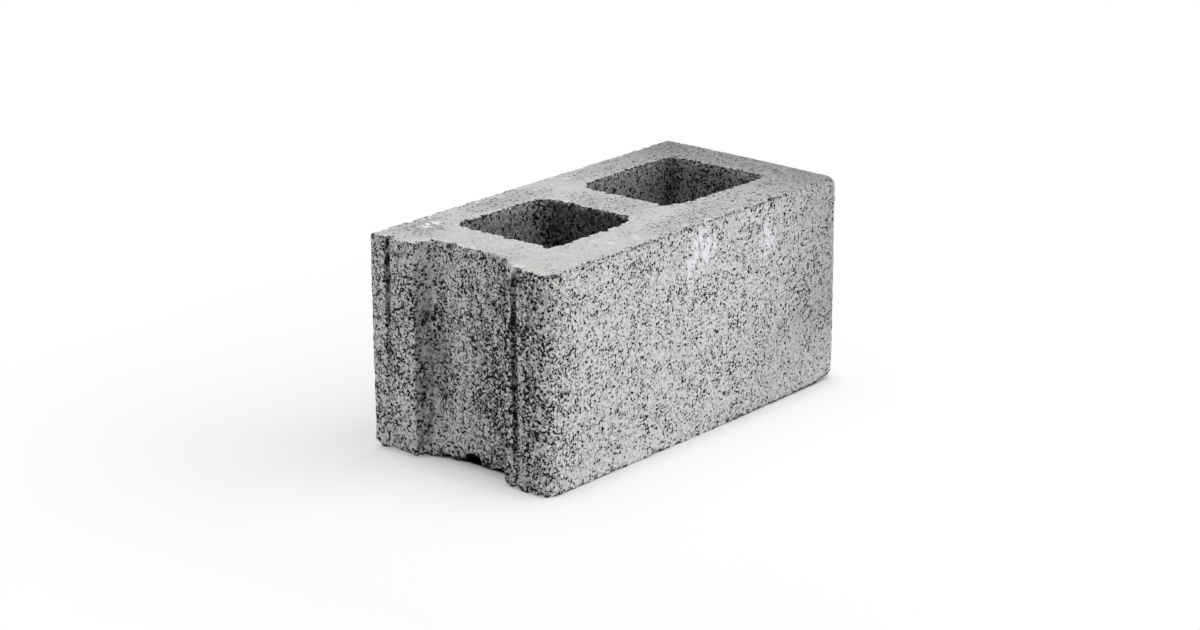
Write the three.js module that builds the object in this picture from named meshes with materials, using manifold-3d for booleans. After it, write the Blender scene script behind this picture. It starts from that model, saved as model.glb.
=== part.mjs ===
// Hollow concrete masonry block with two cores, for walls laid in mortar.
//
// The block is cast in a steel mould as one piece of zero-slump concrete. In plan it is a rectangle
// with one recessed end, whose two ears carry upright mortar grooves, and one plain end that shows at
// a wall's corner or opening. Its two front corners are eased. The cores taper, so that the mould's
// core bars can be drawn: face shells and webs are thickest at the top face, which carries the
// mortar bed.
//
// Millimetres. X runs along the length, from the recessed end to the plain end. Y runs through the
// wall, with the front face at -Y. Z is up. The origin is at the middle of the bottom face.

import * as THREE from 'three';
import { mergeVertices } from 'three/addons/utils/BufferGeometryUtils.js';
import Module from 'manifold-3d';

// Overall size: a nominal 16 x 8 x 8 inch unit less its mortar joints, as it left the mould.
const LENGTH = 397;
const WIDTH = 196;
const HEIGHT = 190;

// Walls, measured on the top face, where they are thickest. The front shell is the wall's weather side.
const FRONT_FACE_SHELL = 51;
const REAR_FACE_SHELL = 39;
const END_WEB = 45;
const MIDDLE_WEB = 50;

// Cores. Every core wall leans outwards by CORE_DRAFT from the top face down to the bottom face.
const CORE_DRAFT = 4;
const CORE_END_FILLET = 9;
const WEB_FLARE_LENGTH = 34;
const WEB_FLARE_DEPTH = 13;

// Recess between the two ears of the recessed end.
const RECESS_DEPTH = 20;
const REAR_EAR_WIDTH = 46;
const FRONT_EAR_WIDTH = 49;
const RECESS_WALL_LEAN = 8;
const RECESS_FLOOR_FILLET = 6;
const EAR_INNER_RADIUS = 4;

// Upright mortar grooves in the ears. Each inset runs from the outer face to the groove's centre.
const GROOVE_WIDTH = 7;
const GROOVE_DEPTH = 6;
const GROOVE_FLOOR_WIDTH = 3;
const REAR_GROOVE_INSET = 18.5;
const FRONT_GROOVE_INSET = 37;
const FLUTE_WIDTH = 5;
const FLUTE_DEPTH = 2;
const FLUTE_FLOOR_WIDTH = 2;
const FLUTE_INSET = 22;
const GROOVE_EDGE_RADIUS = 1.2;

// Upright outer corners.
const FRONT_CORNER_RADIUS = 10;
const REAR_CORNER_RADIUS = 1;

// How finely round stretches are faceted, and how far a cutting tool stands past the solid.
const ARC_DIVISIONS = 5;
const CUT_OVERRUN = 5;

const halfLength = LENGTH / 2;
const halfWidth = WIDTH / 2;

// A corner of a plan outline, with the radius that rounds it off.
function corner(x, y, radius) {
  return { point: new THREE.Vector2(x, y), radius };
}

// Joins corners into a closed outline: straight sides, with a tangent arc at each corner.
function roundedOutline(corners) {
  const outline = new THREE.Shape();
  corners.forEach(({ point, radius }, index) => {
    const previous = corners.at(index - 1).point;
    const next = corners[(index + 1) % corners.length].point;
    const arriving = point.clone().sub(previous).normalize();
    const leaving = next.clone().sub(point).normalize();
    const turn = Math.atan2(arriving.cross(leaving), arriving.dot(leaving));
    const trim = radius * Math.tan(Math.abs(turn) / 2);
    const side = new THREE.Vector2(-arriving.y, arriving.x).multiplyScalar(Math.sign(turn) * radius);
    const centre = point.clone().addScaledVector(arriving, -trim).add(side);
    const startAngle = side.clone().negate().angle();
    outline.absarc(centre.x, centre.y, radius, startAngle, startAngle + turn, turn < 0);
  });
  outline.closePath();
  return outline;
}

// The corners of one groove cut into an ear's end face, walked towards -Y.
function grooveCorners(centreY, width, floorWidth, depth) {
  const floorX = -halfLength + depth;
  return [
    corner(-halfLength, centreY + width / 2, GROOVE_EDGE_RADIUS),
    corner(floorX, centreY + floorWidth / 2, GROOVE_EDGE_RADIUS),
    corner(floorX, centreY - floorWidth / 2, GROOVE_EDGE_RADIUS),
    corner(-halfLength, centreY - width / 2, GROOVE_EDGE_RADIUS),
  ];
}

// The recess between the ears, walked towards -Y from the rear ear to the front ear.
function recessCorners() {
  const rearEdgeY = halfWidth - REAR_EAR_WIDTH;
  const frontEdgeY = FRONT_EAR_WIDTH - halfWidth;
  const floorX = -halfLength + RECESS_DEPTH;
  return [
    corner(-halfLength, rearEdgeY, EAR_INNER_RADIUS),
    corner(floorX, rearEdgeY - RECESS_WALL_LEAN, RECESS_FLOOR_FILLET),
    corner(floorX, frontEdgeY + RECESS_WALL_LEAN, RECESS_FLOOR_FILLET),
    corner(-halfLength, frontEdgeY, EAR_INNER_RADIUS),
  ];
}

// The block's outer outline in plan, walked counterclockwise from the front of the recessed end.
function outerOutline() {
  return roundedOutline([
    corner(-halfLength, -halfWidth, FRONT_CORNER_RADIUS),
    corner(halfLength, -halfWidth, FRONT_CORNER_RADIUS),
    corner(halfLength, halfWidth, REAR_CORNER_RADIUS),
    corner(-halfLength, halfWidth, REAR_CORNER_RADIUS),
    ...grooveCorners(halfWidth - REAR_GROOVE_INSET, GROOVE_WIDTH, GROOVE_FLOOR_WIDTH, GROOVE_DEPTH),
    ...recessCorners(),
    ...grooveCorners(FRONT_GROOVE_INSET - halfWidth, GROOVE_WIDTH, GROOVE_FLOOR_WIDTH, GROOVE_DEPTH),
    ...grooveCorners(FLUTE_INSET - halfWidth, FLUTE_WIDTH, FLUTE_FLOOR_WIDTH, FLUTE_DEPTH),
  ]);
}

// A core's outline at one level, walked from the rear of its end web. The corners at the end web have
// a plain fillet. Those at the middle web are long elliptical flares, where the face shells thicken
// into the web. Draft moves every wall outwards.
function coreOutline(endWebX, middleWebX, draft) {
  const away = Math.sign(endWebX - middleWebX);
  const filletX = endWebX + away * (draft - CORE_END_FILLET);
  const flareX = middleWebX - away * (draft - WEB_FLARE_LENGTH);
  const rearY = halfWidth - REAR_FACE_SHELL + draft;
  const frontY = FRONT_FACE_SHELL - halfWidth - draft;
  const outward = away > 0 ? 0 : Math.PI;
  const inward = Math.PI - outward;
  const quarter = away * Math.PI / 2;
  const clockwise = away < 0;
  const flare = [WEB_FLARE_LENGTH, WEB_FLARE_DEPTH];
  const outline = new THREE.Shape();
  outline.absarc(filletX, rearY - CORE_END_FILLET, CORE_END_FILLET, outward, outward + quarter, clockwise);
  outline.absellipse(flareX, rearY - WEB_FLARE_DEPTH, ...flare, inward - quarter, inward, clockwise);
  outline.absellipse(flareX, frontY + WEB_FLARE_DEPTH, ...flare, inward, inward + quarter, clockwise);
  outline.absarc(filletX, frontY + CORE_END_FILLET, CORE_END_FILLET, outward - quarter, outward, clockwise);
  outline.closePath();
  return outline;
}

// A closed loft between two outlines with equally many points, one below the other.
function loft(bottomOutline, bottomZ, topOutline, topZ) {
  const bottom = bottomOutline.extractPoints(ARC_DIVISIONS).shape;
  const top = topOutline.extractPoints(ARC_DIVISIONS).shape;
  if (THREE.ShapeUtils.isClockWise(bottom)) {
    bottom.reverse();
    top.reverse();
  }
  const count = bottom.length;
  const positions = [
    ...bottom.flatMap((point) => [point.x, point.y, bottomZ]),
    ...top.flatMap((point) => [point.x, point.y, topZ]),
  ];
  const triangles = [];
  for (let index = 0; index < count; index += 1) {
    const next = (index + 1) % count;
    triangles.push(index, next, count + next);
    triangles.push(index, count + next, count + index);
  }
  for (const [a, b, c] of THREE.ShapeUtils.triangulateShape(bottom, [])) {
    triangles.push(c, b, a);
    triangles.push(count + a, count + b, count + c);
  }
  const geometry = new THREE.BufferGeometry();
  geometry.setAttribute('position', new THREE.Float32BufferAttribute(positions, 3));
  geometry.setIndex(triangles);
  return geometry;
}

// The tool that opens one tapered core, standing past both faces of the block.
function coreGeometry(endWebX, middleWebX) {
  const draftPerMillimetre = CORE_DRAFT / HEIGHT;
  const bottomZ = -CUT_OVERRUN;
  const topZ = HEIGHT + CUT_OVERRUN;
  const bottom = coreOutline(endWebX, middleWebX, (HEIGHT - bottomZ) * draftPerMillimetre);
  const top = coreOutline(endWebX, middleWebX, (HEIGHT - topZ) * draftPerMillimetre);
  return loft(bottom, bottomZ, top, topZ);
}

const wasm = await Module();
wasm.setup();

// Turns a closed three.js geometry into a solid that can be cut.
function toSolid(geometry) {
  const bare = geometry.clone();
  bare.deleteAttribute('normal');
  bare.deleteAttribute('uv');
  const merged = mergeVertices(bare);
  return new wasm.Manifold(new wasm.Mesh({
    numProp: 3,
    vertProperties: new Float32Array(merged.attributes.position.array),
    triVerts: new Uint32Array(merged.index.array),
  }));
}

// Turns a solid back into a three.js geometry with flat-shaded normals.
function toGeometry(solid) {
  const mesh = solid.getMesh();
  const geometry = new THREE.BufferGeometry();
  geometry.setAttribute('position', new THREE.BufferAttribute(mesh.vertProperties, 3));
  geometry.setIndex(new THREE.BufferAttribute(mesh.triVerts, 1));
  geometry.computeVertexNormals();
  return geometry;
}

// The whole block: the outer outline drawn up to its height, less its two cores.
function blockGeometry() {
  const envelope = new THREE.ExtrudeGeometry(outerOutline(), {
    depth: HEIGHT,
    bevelEnabled: false,
    curveSegments: ARC_DIVISIONS,
  });
  const recessedCore = coreGeometry(-halfLength + RECESS_DEPTH + END_WEB, -MIDDLE_WEB / 2);
  const plainCore = coreGeometry(halfLength - END_WEB, MIDDLE_WEB / 2);
  const solid = toSolid(envelope).subtract(toSolid(recessedCore)).subtract(toSolid(plainCore));
  return toGeometry(solid);
}

const concrete = new THREE.MeshStandardMaterial({
  name: 'concrete',
  color: new THREE.Color(0xb3b2af),
  roughness: 0.95,
  metalness: 0,
  flatShading: true,
});

const concreteBlock = new THREE.Mesh(blockGeometry(), concrete);
concreteBlock.name = 'concrete_block';

const block = new THREE.Group();
block.add(concreteBlock);

export default block;
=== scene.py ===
# %% [markdown]
# A hollow concrete block, dressed for rendering
#
# The block is one casting of very dry concrete. Its looks come from three things: a crude surface of
# small grains with open pits between them, arrises that crumble a little more at every handling, and
# a smoother top face, where cement paste has closed the pores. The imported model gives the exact
# shape. This script reads its outlines, covers them with a fine mesh, wears that mesh with Geometry
# Nodes and paints it with a procedural material. Everything is in metres.

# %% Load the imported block
import functools
import math

import bmesh
import bpy
import numpy as np
from mathutils import Matrix, Vector
from mathutils.geometry import delaunay_2d_cdt


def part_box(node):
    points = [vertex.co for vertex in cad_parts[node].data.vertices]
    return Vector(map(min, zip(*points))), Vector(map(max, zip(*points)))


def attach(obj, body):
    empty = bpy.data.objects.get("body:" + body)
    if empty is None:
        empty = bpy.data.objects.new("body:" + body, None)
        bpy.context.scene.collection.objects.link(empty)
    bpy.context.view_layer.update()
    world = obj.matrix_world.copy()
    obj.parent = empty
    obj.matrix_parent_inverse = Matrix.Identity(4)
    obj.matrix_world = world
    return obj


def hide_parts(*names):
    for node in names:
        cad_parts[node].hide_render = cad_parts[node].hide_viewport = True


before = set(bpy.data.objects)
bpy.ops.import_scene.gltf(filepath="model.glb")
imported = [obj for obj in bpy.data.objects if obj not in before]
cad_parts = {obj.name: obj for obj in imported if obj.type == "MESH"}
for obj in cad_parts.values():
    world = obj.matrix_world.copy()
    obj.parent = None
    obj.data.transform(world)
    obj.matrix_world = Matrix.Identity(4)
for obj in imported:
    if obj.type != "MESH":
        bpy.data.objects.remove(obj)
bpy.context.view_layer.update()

MM = 0.001
NODE = "concrete_block"
low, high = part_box(NODE)
LENGTH, WIDTH, HEIGHT = high - low
print(f"packed block: {LENGTH / MM:.0f} x {WIDTH / MM:.0f} x {HEIGHT / MM:.0f} mm")

# %% [markdown]
# Reading the plan outlines
#
# Every wall of the block runs straight from an outline on the bottom face to one on the top face.
# There are three pairs: the outer one, and one for each core, which is wider at the bottom. They
# could be drawn again from their dimensions, but then the two models might drift apart. So they are
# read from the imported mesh. An edge is on an outline if it parts a triangle of the top face from one
# of a wall. Two edges lead down from a corner, and the one along the fold is the true upright.

# %% Read the outlines
SAME_PLACE = 1e-6
FACING_UP = 0.9


def upright_partner(corner):
    """The corner at the foot of the fold that starts at this corner of the top outline."""
    down = [edge for edge in corner.link_edges if edge.other_vert(corner).co.z < HEIGHT / 2]
    fold = max(down, key=lambda edge: edge.calc_face_angle(0.0))
    return fold.other_vert(corner)


def read_outlines(cad_object):
    """For each outline, its corners on the top and on the bottom face, as two arrays of x and y."""
    mesh = bmesh.new()
    mesh.from_mesh(cad_object.data)
    bmesh.ops.remove_doubles(mesh, verts=mesh.verts, dist=SAME_PLACE)
    follows = {}
    for face in mesh.faces:
        if face.normal.z < FACING_UP:
            continue
        for loop in face.loops:
            neighbour = loop.link_loop_radial_next.face
            if neighbour.normal.z < FACING_UP:
                follows[loop.vert] = loop.link_loop_next.vert
    outlines = []
    while follows:
        start = next(iter(follows))
        chain = [start]
        while (following := follows.pop(chain[-1])) is not start:
            chain.append(following)
        top = np.array([corner.co.xy for corner in chain])
        bottom = np.array([upright_partner(corner).co.xy for corner in chain])
        outlines.append((top, bottom))
    mesh.free()
    outlines.sort(key=lambda pair: -np.ptp(pair[0][:, 0]))
    return outlines


outlines = read_outlines(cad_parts[NODE])
for top, bottom in outlines:
    print(f"outline of {len(top)} corners, {np.ptp(top[:, 0]) / MM:.1f} mm long at the top,"
          f" {np.ptp(bottom[:, 0]) / MM:.1f} mm at the bottom")

# %% [markdown]
# Columns and rows
#
# A wall is a sheet of columns and rows, bent round its outline. An even grid would be simpler, but
# points are better spent on the grooved ears and beside each arris than deep inside the cores. So a
# density, in points per metre, is added up along the line, and a point stands wherever that sum
# passes a whole number.

# %% Spread points by density
EAR_STEP = 1.3 * MM
SHELL_STEP = 2.0 * MM
CORE_STEP = 2.6 * MM
DEEP_STEP = 7.0 * MM
ARRIS_STEP = 0.9 * MM
ARRIS_BAND = 4.0 * MM
EAR_BAND = 7.0 * MM
VISIBLE_DEPTH = 50.0 * MM
COLUMN_SAMPLES = 4000
ROW_SAMPLES = 2000


def spread(positions, steps):
    """Places along a line whose spacing follows steps, one step for each of the given positions."""
    share = np.diff(positions) / ((steps[1:] + steps[:-1]) / 2)
    total = np.concatenate([[0.0], np.cumsum(share)])
    count = max(1, round(total[-1]))
    return np.interp(np.linspace(0.0, total[-1], count + 1), total, positions)


def columns_of(top, bottom, outer):
    """The outline's columns: x and y at the top and at the bottom, and the wall's outward direction."""
    closed = [np.vstack([outline, outline[:1]]) for outline in (top, bottom)]
    length = np.concatenate([[0.0], np.cumsum(np.linalg.norm(np.diff(closed[0], axis=0), axis=1))])
    fine = np.linspace(0.0, length[-1], COLUMN_SAMPLES)
    on_ear = np.interp(fine, length, closed[0][:, 0]) < low.x + EAR_BAND
    steps = np.where(on_ear, EAR_STEP, SHELL_STEP) if outer else np.full_like(fine, CORE_STEP)
    places = spread(fine, steps)[:-1]
    at_top, at_bottom = (np.stack([np.interp(places, length, along) for along in outline.T], axis=1)
                         for outline in closed)
    along = np.roll(at_top, -1, axis=0) - np.roll(at_top, 1, axis=0)
    along /= np.linalg.norm(along, axis=1, keepdims=True)
    outward = np.stack([along[:, 1], -along[:, 0]], axis=1)
    return at_top, at_bottom, outward


def rows_of(outer):
    """The heights of a wall's rows, close together beside both arrises."""
    fine = np.linspace(0.0, HEIGHT, ROW_SAMPLES)
    to_arris = np.minimum(fine, HEIGHT - fine)
    steps = np.full_like(fine, SHELL_STEP if outer else CORE_STEP)
    if not outer:
        steps[HEIGHT - fine > VISIBLE_DEPTH] = DEEP_STEP
    steps = np.where(to_arris < ARRIS_BAND, ARRIS_STEP, steps)
    return spread(fine, steps)


print(f"rows: {len(rows_of(True))} on the outer wall, {len(rows_of(False))} in a core")

# %% [markdown]
# What every point knows
#
# A dry-cast block isn't alike all over: its ends were dragged hardest by the mould, and its cores and
# grooves get little light. Paint could say so, but only for one mesh. Here each point keeps seven
# facts instead, and the rules of the wear and the finish use them:
#
# - arris_distance: how far away the nearest arris of the top or bottom face is
# - face_out and arris_out: the way its own face looks, and the way the face beyond that arris does
# - openness: how open the pores are, from 0 to 1
# - enclosed: the share of the level light that the block itself keeps off
# - inside_core: how much painted shade its core's wall gets, and core_arris: 1 if that arris is a core's

# %% Openness and shade
CORNER_BAND = 12.0 * MM
FRONT_OPENNESS = ((-198, 0.85), (-182, 0.72), (-160, 0.52), (-120, 0.45), (198, 0.45))
REAR_OPENNESS = 0.55
RECESSED_END_OPENNESS = ((-98, 0.75), (-84, 0.95), (-70, 1.0), (36, 1.0), (52, 0.73), (98, 0.72))
PLAIN_END_OPENNESS = 0.7
CORE_OPENNESS = 0.58
# For each core: how much more open its webs are, and the shade of its shells, webs and corners.
RECESSED_END_CORE = (0.42, 0.77, 0.46, -0.30)
PLAIN_END_CORE = (0.14, 0.69, -0.30, 0.40)
RAY_COUNT = 36
WIDEST_RAY = 87.5
PARALLEL = 1e-12


def looked_up(place, rows):
    """What a table gives at each place. Its rows are a place in mm and a value."""
    at, value = np.array(rows).T
    return np.interp(place, at * MM, value)


def openness_of(plan, outward):
    """How open the pores are on the outer wall: the ends were dragged hardest by the mould."""
    end = np.where(plan[:, 0] < 0, looked_up(plan[:, 1], RECESSED_END_OPENNESS), PLAIN_END_OPENNESS)
    face = np.where(plan[:, 1] < 0, looked_up(plan[:, 0], FRONT_OPENNESS), REAR_OPENNESS)
    share = np.abs(outward[:, 1]) ** 2 * (np.abs(plan[:, 1]) > WIDTH / 2 - CORNER_BAND)
    return end * (1 - share) + face * share


def cross(first, second):
    """The cross product of vectors in plan."""
    return first[..., 0] * second[..., 1] - first[..., 1] * second[..., 0]


def enclosure_of(plan, outward):
    """The share of the level light that the block keeps from each of its columns, by a fan of rays."""
    side = (np.roll(plan, -1, axis=0) - plan)[None]
    to_side = plan[None] - (plan + outward * SAME_PLACE)[:, None]
    turns = np.radians(np.linspace(-WIDEST_RAY, WIDEST_RAY, RAY_COUNT))
    hidden = np.zeros(len(plan))
    for turn in turns:
        cosine, sine = math.cos(turn), math.sin(turn)
        ray = (outward @ np.array([[cosine, sine], [-sine, cosine]]))[:, None]
        across = cross(ray, side)
        across = np.where(np.abs(across) < PARALLEL, PARALLEL, across)
        along, share = cross(to_side, side) / across, cross(to_side, ray) / across
        hidden += cosine * np.any((along > SAME_PLACE) & (share >= 0) & (share < 1), axis=1)
    return hidden / np.cos(turns).sum()


def outer_facts(plan, outward):
    """The facts of the outer wall's columns."""
    return {"openness": openness_of(plan, outward), "enclosed": enclosure_of(plan, outward),
            "inside_core": np.zeros(len(plan)), "core_arris": np.zeros(len(plan))}


def core_facts(plan, outward):
    """The facts of a core's columns. Webs look along x, shells along y, and corners along both."""
    web, corner = np.abs(outward[:, 0]), np.abs(outward[:, 0] * outward[:, 1])
    looks = np.where(plan[:, :1] < 0, RECESSED_END_CORE, PLAIN_END_CORE)
    web_openness, shell_shade, web_shade, corner_shade = looks.T
    return {"openness": CORE_OPENNESS + web_openness * web, "enclosed": np.zeros(len(plan)),
            "inside_core": shell_shade + web_shade * web ** 3 + corner_shade * corner,
            "core_arris": np.ones(len(plan))}


# %% [markdown]
# Clogged grooves and a sheared edge
#
# Two faults of this block are too big for noise. Fines have set in its grooves, most of all at the
# foot, and in two corners of the recess. And a strip of the front ear's top slid off at a slant while
# the block was green. Sculpting could do it, but both only slide points along x or z, so a few tables
# do it as the mesh is built.

# %% Fillings and the shear
# The share of each groove's depth that is filled, by height in mm.
REAR_CLOGGING = ((0, 0.9), (40, 0.8), (70, 0.6), (88, 0.4), (104, 0.5), (124, 0.3), (138, 0.45),
                 (150, 0.25), (158, 0.4), (168, 0.05), (190, 0.1))
FRONT_CLOGGING = ((0, 0.9), (18, 0.8), (32, 0.4), (46, 0.5), (56, 0.1), (76, 0.4), (88, 0.1),
                  (104, 0.2), (114, 0.1), (132, 0.4), (146, 0.1), (158, 0.05), (170, 0.45),
                  (178, 0.2), (190, 0.4))
REAR_GROOVE = (56, 84)
FRONT_GROOVES = (-84, -51)
# The filled share of the recess's depth, by y in mm, at its foot and at its head.
FOOT_FILLING = ((-25, 0.0), (12, 0.0), (28, 0.12), (46, 0.4), (54, 0.0))
HEAD_FILLING = ((-47, 0.0), (-41, 0.22), (-34, 0.12), (-25, 0.0), (54, 0.0))
RECESS_BAND = 21.0 * MM
FOOT_HEIGHT = 26.0 * MM
HEAD_HEIGHT = 14.0 * MM
# The sheared edge in plan, as y and x in mm.
SHEARED_EDGE = ((-90, -199), (-68, -197.5), (-57.6, -193.8), (-49, -189), (-39, -183), (-30, -178),
                (-23, -177), (-14, -180))
SHEAR_SLOPE = 2.0
SHEAR_DEPTH = 60.0 * MM
SHEARED_OPEN = 2.0 * MM


def between(place, limits):
    """Whether each place lies between two limits in mm."""
    return (place > limits[0] * MM) & (place < limits[1] * MM)


def fading(distance, reach):
    """1 at no distance, and evenly down to 0 at the reach."""
    return np.clip(1 - distance / reach, 0.0, 1.0)


def clogging(where):
    """The share of a groove's or the recess's depth that is filled at each place."""
    x, y, z = where.T
    in_recess = looked_up(y, FOOT_FILLING) * fading(z, FOOT_HEIGHT)
    in_recess += looked_up(y, HEAD_FILLING) * fading(HEIGHT - z, HEAD_HEIGHT)
    in_recess *= x < low.x + RECESS_BAND
    on_ear = x < low.x + EAR_BAND
    filled = np.where(on_ear & between(y, FRONT_GROOVES), looked_up(z, FRONT_CLOGGING), in_recess)
    return np.where(on_ear & between(y, REAR_GROOVE), looked_up(z, REAR_CLOGGING), filled)


def turned_out(outward, clogged):
    """The walls' outward directions, turned towards the end face where a groove is clogged."""
    turned = outward * (1 - clogged[:, None])
    turned[:, 0] -= clogged
    return turned / np.linalg.norm(turned, axis=1, keepdims=True)


def shear(where):
    """How far the concrete has slid down beyond the sheared edge of the front ear's top."""
    y, x = np.array(SHEARED_EDGE).T
    edge = np.interp(where[:, 1], y * MM, x * MM, left=low.x, right=low.x)
    return np.maximum(edge - where[:, 0], 0.0) * SHEAR_SLOPE * fading(HEIGHT - where[:, 2], SHEAR_DEPTH)


# %% [markdown]
# The walls
#
# The walls are grids, one for each pair of outlines. Every column runs straight from the bottom to
# the top, so it leans as the mould's core bars do, and a quad joins two neighbours of one row to the
# two above them. All the points are kept in one list, so that the top and bottom faces can share
# those of the first and last rows, and the skin is closed.

# %% Build the walls
points, faces, facts = [], [], {}


def add_points(where, **their_facts):
    """Adds points with their seven facts, and returns the number of the first one."""
    first = sum(len(block) for block in points)
    points.append(where)
    for name, values in their_facts.items():
        facts.setdefault(name, []).append(values)
    return first


def add_wall(at_top, at_bottom, outward, rows, per_column):
    """Adds one wall and returns the vertex numbers of its top and bottom rows."""
    count = len(at_top)
    share = (rows / HEIGHT)[:, None, None]
    plan = at_bottom[None] * (1 - share) + at_top[None] * share
    height = np.broadcast_to(rows[:, None, None], (len(rows), count, 1))
    where = np.concatenate([plan, height], axis=2).reshape(-1, 3)
    clogged = clogging(where)
    where[:, 0] -= (where[:, 0] - low.x) * clogged
    where[:, 2] -= shear(where)
    distance = np.repeat(np.minimum(rows, HEIGHT - rows), count)
    own = np.column_stack([turned_out(np.tile(outward, (len(rows), 1)), clogged), np.zeros(len(where))])
    beyond = np.zeros_like(own)
    beyond[:, 2] = np.repeat(np.where(rows > HEIGHT / 2, 1.0, -1.0), count)
    own_facts = {name: np.tile(values, len(rows)) for name, values in per_column.items()}
    own_facts["enclosed"] *= 1 - clogged
    first = add_points(where, arris_distance=distance, face_out=own, arris_out=beyond, **own_facts)
    row = first + np.arange(len(rows) - 1)[:, None] * count
    column = np.arange(count)[None]
    beside = (column + 1) % count
    quads = np.stack([row + column, row + beside, row + count + beside, row + count + column], axis=2)
    faces.extend(quads.reshape(-1, 4).tolist())
    bottom_row = first + np.arange(count)
    return bottom_row + (len(rows) - 1) * count, bottom_row


walls = []
for number, (top, bottom) in enumerate(outlines):
    outer = number == 0
    at_top, at_bottom, outward = columns_of(top, bottom, outer)
    per_column = outer_facts(at_top, outward) if outer else core_facts(at_top, outward)
    top_row, bottom_row = add_wall(at_top, at_bottom, outward, rows_of(outer), per_column)
    walls.append({"top": (at_top, top_row), "bottom": (at_bottom, bottom_row), "outward": outward})
print(f"walls: {len(faces)} quads in {len(walls)} sheets")

# %% [markdown]
# The top and bottom faces
#
# These are flat shapes with two holes each, which a grid can't fill without slivers. A constrained
# Delaunay triangulation can. It takes the outlines' own points as fixed edges, and a loose honeycomb
# of points between them, which is finer beside the arrises, where chips will need it.

# %% Fill the top and bottom faces
CAP_STEP = 3.0 * MM
CAP_EDGE_STEP = 1.6 * MM
CAP_CLEAR = 0.7 * MM
CAP_EDGE_BAND = 6.0 * MM
JITTER = 0.25
BATCH = 2000
SAME_POINT = 1e-9
TOP_OPENNESS = 0.0
BOTTOM_OPENNESS = 0.8
rng = np.random.default_rng(11)


def inside(outline, where):
    """Whether each point lies inside a closed outline, by counting crossings."""
    x, y = where[:, 0:1], where[:, 1:2]
    x0, y0 = outline[:, 0], outline[:, 1]
    x1, y1 = np.roll(x0, -1), np.roll(y0, -1)
    spans = (y0 > y) != (y1 > y)
    slope = (x1 - x0) / np.where(y1 == y0, 1.0, y1 - y0)
    crossings = spans & (x < x0 + slope * (y - y0))
    return crossings.sum(axis=1) % 2 == 1


def on_concrete(where, rings):
    """Whether each point lies between the outer outline and the cores'."""
    return inside(rings[0], where) & ~inside(rings[1], where) & ~inside(rings[2], where)


def nearest(where, rim):
    """For each point, the number of the nearest rim point and its distance."""
    number, distance = [], []
    for part in np.array_split(where, len(where) // BATCH + 1):
        gap = np.linalg.norm(part[:, None] - rim[None], axis=2)
        number.append(gap.argmin(axis=1))
        distance.append(gap.min(axis=1))
    return np.concatenate(number), np.concatenate(distance)


def honeycomb(step):
    """Loosely placed points, a step apart, over the whole plan."""
    x = np.arange(low.x, high.x, step)
    y = np.arange(low.y, high.y, step * math.sqrt(3) / 2)
    grid_x, grid_y = np.meshgrid(x, y)
    grid_x[1::2] += step / 2
    where = np.stack([grid_x.ravel(), grid_y.ravel()], axis=1)
    return where + rng.uniform(-JITTER, JITTER, where.shape) * step


def loose_points(middle_step, rings, rim):
    """Points between the outlines, with the number and the distance of each one's nearest rim point."""
    chosen = []
    for step, nearer, farther in (
        (CAP_EDGE_STEP, CAP_CLEAR, CAP_EDGE_BAND),
        (middle_step, CAP_EDGE_BAND + middle_step / 3, LENGTH),
    ):
        where = honeycomb(step)
        where = where[on_concrete(where, rings)]
        number, distance = nearest(where, rim)
        keep = (distance > nearer) & (distance < farther)
        chosen.append((where[keep], number[keep], distance[keep]))
    return [np.concatenate(part) for part in zip(*chosen)]


def triangulated(plan, rings):
    """Triangles over the plan's points. They keep the outlines' sides and leave the cores open."""
    edges, start = [], 0
    for ring in rings:
        edges.extend((start + i, start + (i + 1) % len(ring)) for i in range(len(ring)))
        start += len(ring)
    flat = [Vector(point) for point in plan]
    _, _, triangles, origins, _, _ = delaunay_2d_cdt(flat, edges, [], 0, SAME_POINT)
    origin = np.array([group[0] for group in origins])
    triangles = origin[np.array(triangles)]
    return triangles[on_concrete(plan[triangles].mean(axis=1), rings)]


def fill_cap(side, middle_step, z, up):
    """Fills the face between the three outlines at height z. Up is 1 for the top face and -1 below."""
    rings = [wall[side][0] for wall in walls]
    rim = np.vstack(rings)
    rim_outward = turned_out(np.vstack([wall["outward"] for wall in walls]),
                             clogging(np.column_stack([rim, np.full(len(rim), z)])))
    in_core = np.repeat([0.0, 1.0, 1.0], [len(ring) for ring in rings])
    where, number, distance = loose_points(middle_step, rings, rim)
    count = len(where)
    placed = np.column_stack([where, np.full(count, z)])
    dropped = shear(placed)
    placed[:, 2] -= dropped
    first = add_points(
        placed, arris_distance=distance, face_out=np.tile([0.0, 0.0, up], (count, 1)),
        arris_out=np.column_stack([rim_outward[number], np.zeros(count)]),
        openness=np.maximum(TOP_OPENNESS if up > 0 else BOTTOM_OPENNESS,
                            np.clip(dropped / SHEARED_OPEN, 0.0, 1.0)),
        enclosed=np.zeros(count), inside_core=np.zeros(count), core_arris=in_core[number])
    numbers = np.concatenate([wall[side][1] for wall in walls] + [first + np.arange(count)])
    triangles = triangulated(np.vstack([rim, where]), rings)
    faces.extend(numbers[triangles if up > 0 else triangles[:, ::-1]].tolist())
    return len(triangles)


top_count = fill_cap("top", CAP_STEP, HEIGHT, 1.0)
bottom_count = fill_cap("bottom", 2 * CAP_STEP, 0.0, -1.0)
print(f"caps: {top_count} and {bottom_count} triangles")

# %% Make the mesh
def in_scene(name, data):
    """A new object of the scene, with the given data."""
    added = bpy.data.objects.new(name, data)
    bpy.context.scene.collection.objects.link(added)
    return added


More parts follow.
